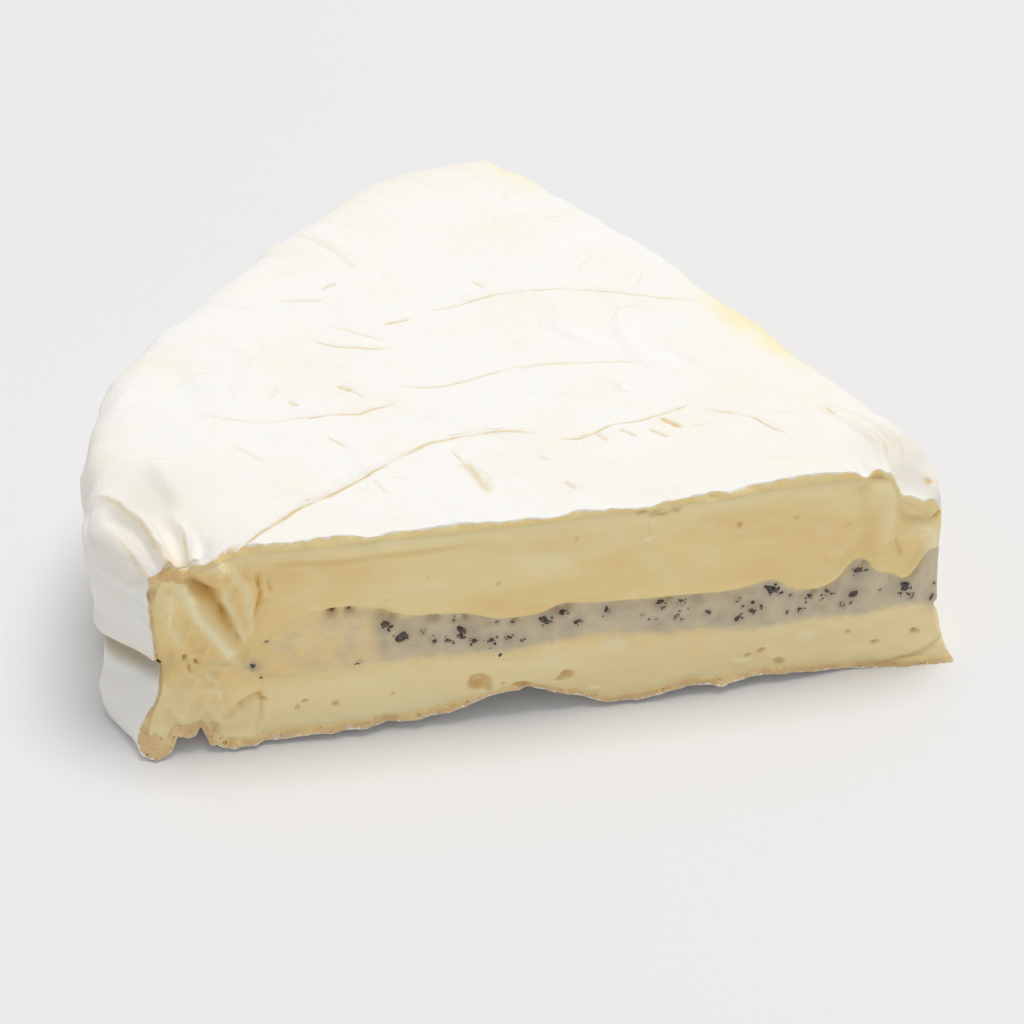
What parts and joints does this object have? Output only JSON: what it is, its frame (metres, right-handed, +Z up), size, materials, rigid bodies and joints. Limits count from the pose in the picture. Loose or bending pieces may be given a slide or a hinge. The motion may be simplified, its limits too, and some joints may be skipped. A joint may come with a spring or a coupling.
{
  "type": "truffle-filled soft cheese wedge",
  "caption": "Wedge cut from a wheel of soft white-rind cheese, with a layer of truffle cream between its upper and lower discs of paste.",
  "frame": {"origin": "middle of the wedge's own footprint, on the surface that it lies on", "axes": "+X along the front cut towards the tip, +Y from the front cut towards the far corner of the rim, +Z up"},
  "size_m": [0.131, 0.128, 0.0353],
  "materials": {
    "rind": "matt, powdery white mould with cream and tan creases",
    "paste": "smooth and slightly glossy, pale straw yellow",
    "cream": "soft, slightly glossy, greyish cream",
    "truffle": "matt, nearly black"
  },
  "bodies": {
    "root": {"rind_upper": "rind", "paste_upper": "paste", "truffle_cream": "cream", "paste_lower": "paste", "rind_lower": "rind", "truffle_front_01": "truffle", "truffle_front_02": "truffle", "truffle_front_03": "truffle", "truffle_front_04": "truffle", "truffle_front_05": "truffle", "truffle_front_06": "truffle", "truffle_front_07": "truffle", "truffle_front_08": "truffle", "truffle_front_09": "truffle", "truffle_front_10": "truffle", "truffle_front_11": "truffle", "truffle_front_12": "truffle", "truffle_front_13": "truffle", "truffle_front_14": "truffle", "truffle_front_15": "truffle", "truffle_front_16": "truffle", "truffle_front_17": "truffle", "truffle_front_18": "truffle", "truffle_front_19": "truffle", "truffle_front_20": "truffle", "truffle_front_21": "truffle", "truffle_front_22": "truffle", "truffle_front_23": "truffle", "truffle_front_24": "truffle", "truffle_front_25": "truffle", "truffle_front_26": "truffle", "truffle_front_27": "truffle", "truffle_front_28": "truffle", "truffle_front_29": "truffle", "truffle_front_30": "truffle", "truffle_back_01": "truffle", "truffle_back_02": "truffle", "truffle_back_03": "truffle", "truffle_back_04": "truffle", "truffle_back_05": "truffle", "truffle_back_06": "truffle", "truffle_back_07": "truffle", "truffle_back_08": "truffle", "truffle_back_09": "truffle", "truffle_back_10": "truffle", "truffle_back_11": "truffle", "truffle_back_12": "truffle", "truffle_back_13": "truffle", "truffle_back_14": "truffle", "truffle_back_15": "truffle", "truffle_back_16": "truffle"}
  },
  "joints": []
}
